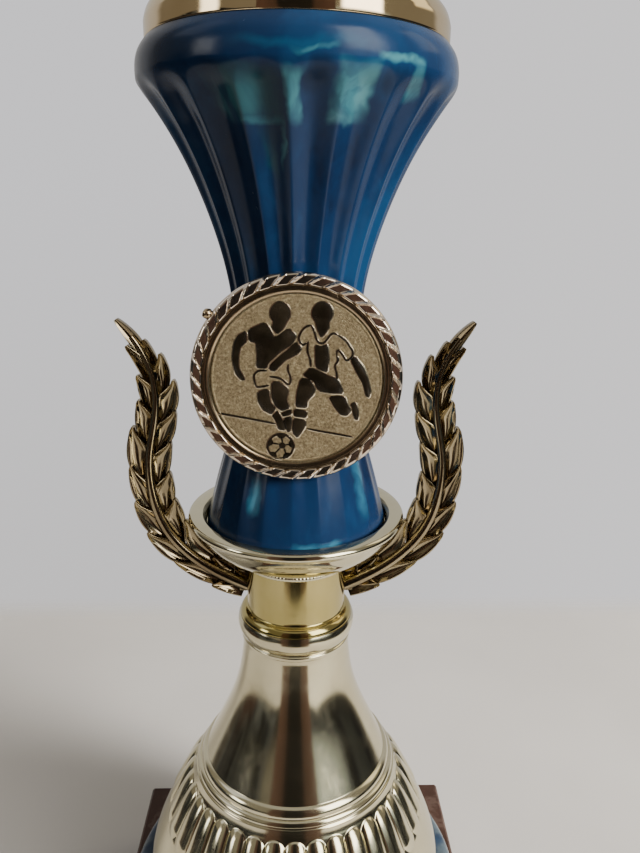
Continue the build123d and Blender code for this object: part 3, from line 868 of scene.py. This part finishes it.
class Midrib:
    """The branch's centre line, with places given as (distance along, offset to the left)."""

    def __init__(self, side):
        self.line = spline([(side * x, z) for x, z in MIDRIB], 240)
        self.run = run_along(self.line)
        self.total = self.run[-1]

    def place(self, distance):
        return np.array([np.interp(distance, self.run, self.line[:, k]) for k in (0, 1)])

    def across(self, distance):
        """Unit vector to the line's left."""
        heading = self.place(distance + 0.8) - self.place(distance - 0.8)
        heading /= np.linalg.norm(heading)
        return np.array([-heading[1], heading[0]])

    def section(self, distance, outline):
        """(x, y, z) points of a cross section from its (offset, y) outline."""
        place = self.place(distance)
        across = self.across(distance)
        return [(place[0] + across[0] * n, y, place[1] + across[1] * n) for n, y in outline]

    def locate(self, spot):
        """Distance along and signed offset of a place near the line."""
        i = int(np.argmin(np.linalg.norm(self.line - spot, axis=1)))
        return self.run[i], float((np.array(spot) - self.place(self.run[i])) @ self.across(self.run[i]))


def leaf_rows(rib, end, offset, before):
    """Sections of one leaf that hugs the midrib, hollow along its middle, with a raised rim and a tip
    that leans forward over the next leaf's root. end and offset place its tip on the midrib, and before is
    how far along the last leaf on its side ends."""
    start = max(0.2, min(end - LEAF_LONG, end - LEAF_OVERLAP * (end - before)))
    hand = 1 if offset > 0 else -1
    reach = abs(offset)
    filled = 0.95 if before == 0.0 else 0.0
    rows = []
    for t in np.linspace(0, 1, LEAF_ROWS):
        swell = 1 - (1 - filled) * (1 - min(t / 0.8, 1.0)) ** 2.4
        blunt = 0.35 * smooth(t, 0.93, 1.0)
        outer = max(0.25, reach * swell * (1.0 + 0.06 * sin(pi * t)) - blunt)
        inner = (reach - 1.2) * smooth(t, 0.62, 1.02) ** 1.1
        lift = 0.55 + 1.35 * t**1.2
        fade = sin(pi * min(1.0, 0.15 + t * 0.8)) ** 0.7
        width = outer - inner
        front = [(inner + width * v, drop * fade - lift) for v, drop in LEAF_SECTION]
        edge = 0.3 * min(1, width)
        side = BRANCH_BACK - 0.5
        back = [(outer, side), (outer - edge, BRANCH_BACK), (inner + edge, BRANCH_BACK), (inner, side)]
        row = rib.section(start + (end - start) * t, [(hand * n, y) for n, y in front + back])
        rows.append(row if hand > 0 else row[::-1])
    return rows


def stem_rows(rib):
    """Sections of the raised midrib, thick at the root and thin towards the end leaf."""
    rows = []
    for s in np.linspace(0, rib.total - 7.0, 90):
        thick = np.interp(s, STEM_RUN + [rib.total], STEM_THICK + [0.8])
        rows.append(rib.section(s, around(0.0, -1.0, full_turn(14), thick, -0.9 * thick)))
    return rows


def end_leaf_rows(rib):
    """Sections of the narrow leaf that ends the branch."""
    start = rib.total - 15.0
    rows = []
    for t in np.linspace(0, 1, LEAF_ROWS):
        half = 0.45 + 1.45 * sin(pi * (0.14 + 0.86 * t) ** 0.9) ** 0.75
        lift = 1.3 + 0.9 * t
        row = [(u * half, drop * min(1, half / 2) - lift) for u, drop in END_LEAF_SECTION]
        row += [(half, BRANCH_BACK - 0.4), (half * 0.7, BRANCH_BACK)]
        row += [(-half * 0.7, BRANCH_BACK), (-half, BRANCH_BACK - 0.4)]
        rows.append(rib.section(start + (rib.total - start) * t, row))
    return rows


def build_branch(name, side):
    """Laurel branch: overlapping leaves on both sides of a raised midrib; side is 1 on +X, -1 on -X."""
    rib = Midrib(side)
    solids = []
    for tips in (OUTER_TIPS, INNER_TIPS):
        before = 0.0
        for x, z in tips:
            end, offset = rib.locate((side * x, z))
            solids.append(leaf_rows(rib, end, offset, before))
            before = end
    points, faces = loft(solids + [stem_rows(rib), end_leaf_rows(rib)])
    return face_outwards(add_mesh(name, np.array(points) * MM, faces, crease=radians(50)))


def build_root_peg(name, side):
    """Square peg with cut corners that enters the neck's slot."""
    low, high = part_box("wreath_arm_right" if side > 0 else "wreath_arm_left")
    root = (low.x if side > 0 else high.x) / MM
    y, z, cut = PEG_HALF_DEPTH, PEG_HALF_HEIGHT, PEG_CUT
    quarter = [(y - cut, -z), (y, cut - z), (y, z - cut), (y - cut, z)]
    section = quarter + [(-a, -b) for a, b in quarter]
    middle = MIDRIB[0][1]
    rows = [[(x, a, middle + b) for a, b in section] for x in (root, root + side * PEG_LONG)]
    points, faces = loft([rows])
    return face_outwards(add_mesh(name, np.array(points) * MM, faces, crease=radians(30)))


# ---- put everything together ----
CHAMPAGNE = mirror_gold("champagne_gold", (0.72, 0.67, 0.47), (0.64, 0.58, 0.38), 0.07, 0.09)
BELL_GOLD = mirror_gold("bell_gold", (0.72, 0.67, 0.47), (0.64, 0.58, 0.38), 0.13, 0.09)
YELLOW = mirror_gold("yellow_gold", (0.5, 0.42, 0.18), (0.43, 0.36, 0.12), 0.1)
CAP_GOLD = mirror_gold("cap_gold", (0.72, 0.58, 0.36), (0.6, 0.46, 0.27), 0.05, 0.08)
BRONZE = mirror_gold("bronze_gold", (0.78, 0.68, 0.56), (0.66, 0.56, 0.44), 0.08)
SATIN_BRONZE = mirror_gold("satin_bronze", (0.46, 0.36, 0.23), (0.36, 0.27, 0.16), 0.2)
BRANCH_GOLD = mirror_gold("branch_gold", (0.38, 0.32, 0.2), (0.2, 0.15, 0.09), 0.12, 0.12)
BRASS = mirror_gold("turned_brass", (0.66, 0.48, 0.2), (0.5, 0.36, 0.15), 0.18)
EMBLEM_EDGE = mirror_gold("emblem_edge", (0.8, 0.7, 0.5), (0.7, 0.6, 0.42), 0.15)


def emblem_field():
    s = Shader("emblem_field")
    grain = s.noise(1500, detail=4, roughness=0.7)
    shades = [(0.3, (0.17, 0.125, 0.065)), (0.5, (0.34, 0.27, 0.155)), (0.7, (0.56, 0.47, 0.29))]
    s.set(Base_Color=s.ramp(grain, shades))
    s.set(Metallic=0.9, Roughness=s.mottle(800, (0.3, 0.36), (0.7, 0.52)))
    return s.bump(grain, 0.9, 0.00025).material


def emblem_dark():
    s = Shader("emblem_dark")
    s.set(Base_Color=s.mottle(160, (0.3, (0.006, 0.0045, 0.0025)), (0.7, (0.016, 0.012, 0.007))))
    s.set(Metallic=0.3, Roughness=s.mottle(300, (0.3, 0.16), (0.7, 0.28)))
    return s.bump(s.noise(700), 0.1, 0.00005).material


TEAL = (0.036, 0.135, 0.155)
PALE_TEAL = (0.075, 0.195, 0.205)
DIM_TEAL = (0.009, 0.043, 0.054)
CYAN = (0.04, 0.18, 0.26)
PAINTED_SHADE_NAVY = (0.003, 0.014, 0.04)
PAINTED_SHADE_INK = (0.003, 0.01, 0.028)
SEA_BLUE = (0.008, 0.045, 0.085)
PAINTED_SHEEN_GREY = (0.13, 0.16, 0.16)


def column_blue():
    """Blue plastic with the teal flow marks that lie round the column's wide top and near its foot, with
    painted light laid in: a navy band of painted shade under the cap, painted shade inside two flute tops,
    and painted highlights along the arch tops and the front of the foot edge.
    """
    shader, colour = blue_plastic("blue_column")
    marks = SwirlsAndShade(shader, colour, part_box("column")[0].z)
    lay = marks.lay
    # painted shade: a dark navy band all round the top of the column, under the cap
    lay((-181, 181), (131.5, 143.0), PAINTED_SHADE_NAVY, 0.55, (1, 3), streaks=False)
    lay((-22, 28), (134.0, 138.0), SEA_BLUE, 0.6, (10, 2))
    lay((-31, -4), (118.5, 131.0), DIM_TEAL, 0.85, (6, 4))
    lay((-32, -12), (119.0, 131.0), TEAL, 0.4, (5, 4))
    lay((-26, -5), (118.5, 121.0), TEAL, 0.45, (5, 1.5))
    lay((-5, 3), (118.0, 132.0), TEAL, 0.85, (2, 3))
    lay((-9, -6), (109.0, 120.0), TEAL, 0.6, (1.2, 5))
    lay((-16, -10), (106.0, 119.0), DIM_TEAL, 0.7, (2, 6))
    lay((11, 27), (118.5, 133.0), TEAL, 0.75, (3, 3))
    lay((12, 24), (118.0, 121.0), PALE_TEAL, 0.6, (3, 1.8))
    lay((19, 26), (121.0, 132.0), PALE_TEAL, 0.45, (2, 3))
    # painted highlight: teal streaks along the tops of the flute arches
    lay((24, 46), (132.0, 134.6), TEAL, 0.9, (3, 1))
    lay((39, 46), (124.0, 134.0), TEAL, 0.85, (2, 3))
    # painted shade: ink-dark marks inside the arched tops of two flutes
    lay((2, 11), (124.0, 134.0), PAINTED_SHADE_INK, 0.85, (2.5, 2), streaks=False)
    lay((28, 37), (126.0, 132.5), PAINTED_SHADE_INK, 0.75, (2.5, 2), streaks=False)
    # painted highlight: a teal streak just above the front flute's arch top
    lay((-3, 13), (133.6, 135.6), TEAL, 0.5, (4, 0.8))
    lay((-36, -24), (9.0, 22.0), CYAN, 0.9, (5, 5))
    # painted highlight: a cyan band along the front of the column's rounded foot edge
    lay((-4, 32), (0.2, 4.5), CYAN, 0.55, (8, 1.8))
    lay((44, 58), (6.0, 30.0), CYAN, 0.35, (5, 8))
    lay((104, 150), (114.0, 132.0), TEAL, 0.9, (9, 4))
    lay((-150, -112), (122.0, 134.0), DIM_TEAL, 1.0, (9, 4))
    lay((165, 182), (118.0, 126.0), TEAL, 0.8, (5, 3))
    lay((-130, -112), (50.0, 74.0), DIM_TEAL, 0.9, (7, 6))
    lay((120, 150), (12.0, 30.0), TEAL, 0.6, (9, 5))
    return shader.set(Base_Color=marks.colour).material


def foot_blue():
    """The same plastic on the foot ring, with a few lighter marks at heights above the table, over a pale
    grey-teal painted sheen that covers the whole ring.
    """
    shader, colour = blue_plastic("blue_foot")
    marks = SwirlsAndShade(shader, colour)
    # painted sheen: pale grey-teal over the whole foot ring, for its blurred highlights
    marks.lay((-181, 181), (30, 66), PAINTED_SHEEN_GREY, 0.6, (1, 3))
    marks.lay((40, 75), (40, 58), DIM_TEAL, 0.9, (9, 5))
    marks.lay((-110, -60), (36, 60), DIM_TEAL, 0.9, (15, 6))
    marks.lay((-30, -5), (42, 56), TEAL, 0.6, (7, 4))
    marks.lay((140, 170), (38, 60), TEAL, 0.6, (8, 5))
    return shader.set(Base_Color=marks.colour).material


def dress_cad_nodes():
    """Materials of the CAD nodes that stay visible as they are."""
    looks = {
        "marble_base": marble_material(),
        "base_felt": felt_material(),
        "foot_gasket": moulded("foam", (0.45, 0.44, 0.4), (0.6, 0.59, 0.55), 0.85, 0.8),
        "centring_disc": moulded("white_plastic", (0.55, 0.55, 0.53), (0.68, 0.68, 0.66)),
        "adhesive_pad": moulded("foam_tape", (0.6, 0.58, 0.52), (0.72, 0.7, 0.64), 0.8, 0.5),
        "finial_insert": BRASS,
        "medallion_stem": BRONZE,
    }
    fasteners = ("base_washer", "base_nut", "threaded_rod", "top_washer", "top_nut", "stem_retainer")
    looks.update(dict.fromkeys(fasteners, steel("zinc_steel")))
    for node, material in looks.items():
        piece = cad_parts[node]
        piece.data.materials.clear()
        piece.data.materials.append(material)


dress_cad_nodes()
standin(build_column(), "column", column_blue())
standin(build_foot_ring(), "foot_ring", foot_blue())
standin(build_bell(), "bell_riser", BELL_GOLD)
standin(build_neck(), "neck_collar", YELLOW)
standin(build_dish(), "column_dish", CHAMPAGNE)
standin(build_cap(), "dome_cap", CAP_GOLD)
standin(build_collar(), "finial_collar", CAP_GOLD)
standin(build_finial(), "finial", CAP_GOLD)
standin(build_holder(), "medallion_holder", SATIN_BRONZE)
standin(build_rope(), "medallion_holder", BRONZE)
standin(build_nub(), "medallion_holder", SATIN_BRONZE)
standin(build_disc(), "medallion_insert", emblem_field())
edging, figures = build_emblem()
standin(edging, "medallion_insert", EMBLEM_EDGE)
standin(figures, "medallion_insert", emblem_dark())
for hand, node in ((-1, "wreath_arm_left"), (1, "wreath_arm_right")):
    standin(build_branch(node + "_leaves", hand), node, BRANCH_GOLD)
    standin(build_root_peg(node + "_peg", hand), node, BRANCH_GOLD)


# ---- floor, light and camera ----
TABLE_HALF_WIDTH = 0.44
TABLE_FRONT = -0.6
TABLE_BACK = 0.31
TABLE_FADE = 0.03
SCREEN_Y = -0.325
SCREEN_X = (-0.165, 0.145)
SCREEN_Z = (0.002, 0.5)


def build_floor():
    """Pale table top with soft edges that fade into the background."""
    xs = np.linspace(-TABLE_HALF_WIDTH, TABLE_HALF_WIDTH, 45)
    ys = np.linspace(TABLE_FRONT, TABLE_BACK, 46)
    faces = grid_faces(len(xs), len(ys), False, False)[:, ::-1]
    floor = new_piece("floor", [(x, y, 0.0) for x in xs for y in ys], faces)
    s = Shader("floor")
    s.set(Base_Color=s.mottle(6, (0.3, (0.445, 0.425, 0.4)), (0.7, (0.485, 0.465, 0.44)), detail=3))
    x, y, _ = s.split(s.where)
    aside = s.math("SUBTRACT", TABLE_HALF_WIDTH, s.math("ABSOLUTE", x))
    along = s.math("MINIMUM", s.math("SUBTRACT", y, TABLE_FRONT), s.math("SUBTRACT", TABLE_BACK, y))
    inside = s.math("MINIMUM", aside, along)
    s.set(Roughness=0.75, Alpha=s.math("DIVIDE", inside, TABLE_FADE, clamp=True))
    floor.data.materials.append(s.material)


def build_dark_screen():
    """Tall dark screen in front of the table, behind the camera, for the mirror-bright parts to reflect:
    black in the middle, red-brown at both sides."""
    corners = [(SCREEN_X[i], SCREEN_Y, SCREEN_Z[j]) for i, j in ((0, 0), (1, 0), (1, 1), (0, 1))]
    screen = new_piece("dark_screen", corners, [(0, 1, 2, 3)])
    s = Shader("dark_screen")
    across = s.math("ABSOLUTE", s.math("ADD", s.split(s.warped(9, 0.05))[0], 0.01))
    shades = [(0.055, (0.012, 0.01, 0.01)), (0.08, (0.12, 0.07, 0.056)), (0.14, (0.17, 0.095, 0.078))]
    s.set(Base_Color=s.ramp(across, shades), Roughness=0.8)
    screen.data.materials.append(s.material)
    screen.visible_camera = False
    screen.visible_shadow = False


class Surroundings(Nodes):
    """World colour by direction: soft-edged patches in degrees of azimuth (0 in front, + to the right)
    and elevation are laid over a base colour."""

    def __init__(self, tree, base):
        super().__init__(tree, "Generated")
        self.aside, y, z = self.split(self.where)
        self.azimuth = self.bearing(self.aside, y)
        self.elevation = self.math("DEGREES", self.math("ARCSINE", z))
        self.colour = base

    def rise(self, value, edge, soft):
        """0 below the edge and 1 above it."""
        inputs = {"Value": value, "From Min": edge - soft, "From Max": edge + soft}
        return self.add("MapRange", inputs, interpolation_type="SMOOTHSTEP").outputs["Result"]

    def within(self, value, low, high, soft):
        return self.math("SUBTRACT", self.rise(value, low, soft), self.rise(value, high, soft))

    def clutter(self, dark, light, scale):
        """Colour that wanders between two, like unlit furniture."""
        noise = self.noise(scale, detail=3.0, roughness=0.5, distortion=1.0)
        return self.mix(self.rise(noise, 0.52, 0.1), dark, light)

    def patch(self, azimuths, elevations, colour, soft, turn=None):
        """Lays a patch between two azimuths and two elevations."""
        mask = self.within(turn or self.azimuth, *azimuths, soft)
        tall = self.within(self.elevation, *elevations, soft)
        self.colour = self.mix(self.math("MULTIPLY", mask, tall), self.colour, colour)

    def oval(self, centre, radii, colour, soft=0.12):
        """Lays an oval patch about a centre (azimuth, elevation), with radii in degrees."""
        across = self.math("DIVIDE", self.math("SUBTRACT", self.azimuth, centre[0]), radii[0])
        up = self.math("DIVIDE", self.math("SUBTRACT", self.elevation, centre[1]), radii[1])
        apart = self.math("ADD", self.math("MULTIPLY", across, across), self.math("MULTIPLY", up, up))
        mask = self.math("SUBTRACT", 1.0, self.rise(apart, 1.0, soft))
        self.colour = self.mix(mask, self.colour, colour)


WALL_HIGH = (0.88, 0.87, 0.9)
WALL_LOW = (0.78, 0.76, 0.76)
WALL_RIGHT = (0.95, 0.93, 0.94)


def build_world():
    """Plain pale wall for the camera. Reflections see a dim room: a pale wall behind the table, dark
    furniture at the sides and in front, and the windows."""
    world = bpy.data.worlds.new("studio")
    bpy.context.scene.world = world
    world.use_nodes = True
    room = Surroundings(world.node_tree, (0.26, 0.235, 0.19))
    turned = room.math("ABSOLUTE", room.azimuth)
    room.patch((-120, 120), (-95, 4), (0.06, 0.052, 0.046), 4)
    room.patch((-125, 125), (50, 95), (0.48, 0.46, 0.42), 6)
    room.oval((-70, -5), (38, 16), room.clutter((0.012, 0.012, 0.013), (0.12, 0.125, 0.13), 5.5))
    room.patch((-100, -74), (-22, -11), (0.06, 0.036, 0.03), 4)
    room.patch((26, 60), (-22, 0), room.clutter((0.03, 0.032, 0.034), (0.11, 0.11, 0.11), 6.0), 3)
    room.patch((60, 112), (-30, 2), room.clutter((0.01, 0.01, 0.012), (0.045, 0.048, 0.05), 6.0), 3)
    room.patch((20, 66), (1, 9), (0.55, 0.62, 0.62), 4)
    room.patch((118, 200), (-95, 62), (0.6, 0.58, 0.56), 5, turned)
    room.patch((31, 61), (9, 52), (8.0, 7.7, 7.3), 2.5)
    room.patch((-71, -57), (6, 24), (5.0, 4.9, 4.7), 2.5)
    room.patch((93, 116), (18, 46), (1.6, 1.4, 1.0), 2.0)
    room.patch((-100, -72), (30, 60), (0.9, 0.9, 0.95), 3.0)
    wall = room.mix(room.rise(room.elevation, -14, 22), WALL_LOW, WALL_HIGH)
    wall = room.mix(room.rise(room.aside, 0.15, 0.35), wall, WALL_RIGHT)
    colour = room.mix(room.add("LightPath").outputs["Is Camera Ray"], room.colour, wall)
    room.put(room.tree.nodes["Background"].inputs["Color"], colour)


def area_light(name, place, size, watts, colour):
    """Soft rectangular light aimed at the object; it casts light and shadow but isn't mirrored."""
    light = bpy.data.lights.new(name, "AREA")
    light.shape = "RECTANGLE"
    light.size, light.size_y = size
    light.energy = watts
    light.color = colour
    lamp = bpy.data.objects.new(name, light)
    lamp.location = place
    lamp.rotation_mode = "QUATERNION"
    lamp.rotation_quaternion = (Vector((0, 0, 0.2)) - Vector(place)).to_track_quat("-Z", "Y")
    lamp.visible_glossy = False
    bpy.context.scene.collection.objects.link(lamp)


CAMERA_DISTANCE = 0.22
CAMERA_HEIGHT = 0.311
CAMERA_PITCH = 16.83
CAMERA_YAW = 1.98
CAMERA_ROLL = 0.77
CAMERA_LENS = 29.8


def build_camera():
    data = bpy.data.cameras.new("camera")
    data.lens = CAMERA_LENS
    data.clip_start = 0.01
    camera = bpy.data.objects.new("camera", data)
    bpy.context.scene.collection.objects.link(camera)
    tilt = Matrix.Rotation(radians(90 - CAMERA_PITCH), 4, "X")
    turn = Matrix.Rotation(radians(-CAMERA_YAW), 4, "Z")
    roll = Matrix.Rotation(radians(CAMERA_ROLL), 4, "Z")
    camera.matrix_world = Matrix.Translation((0, -CAMERA_DISTANCE, CAMERA_HEIGHT)) @ turn @ tilt @ roll
    bpy.context.scene.camera = camera


build_floor()
build_dark_screen()
build_world()
area_light("window_right", (1.4, -0.98, 0.92), (0.48, 0.64), 108.0, (1.0, 0.97, 0.93))
build_camera()
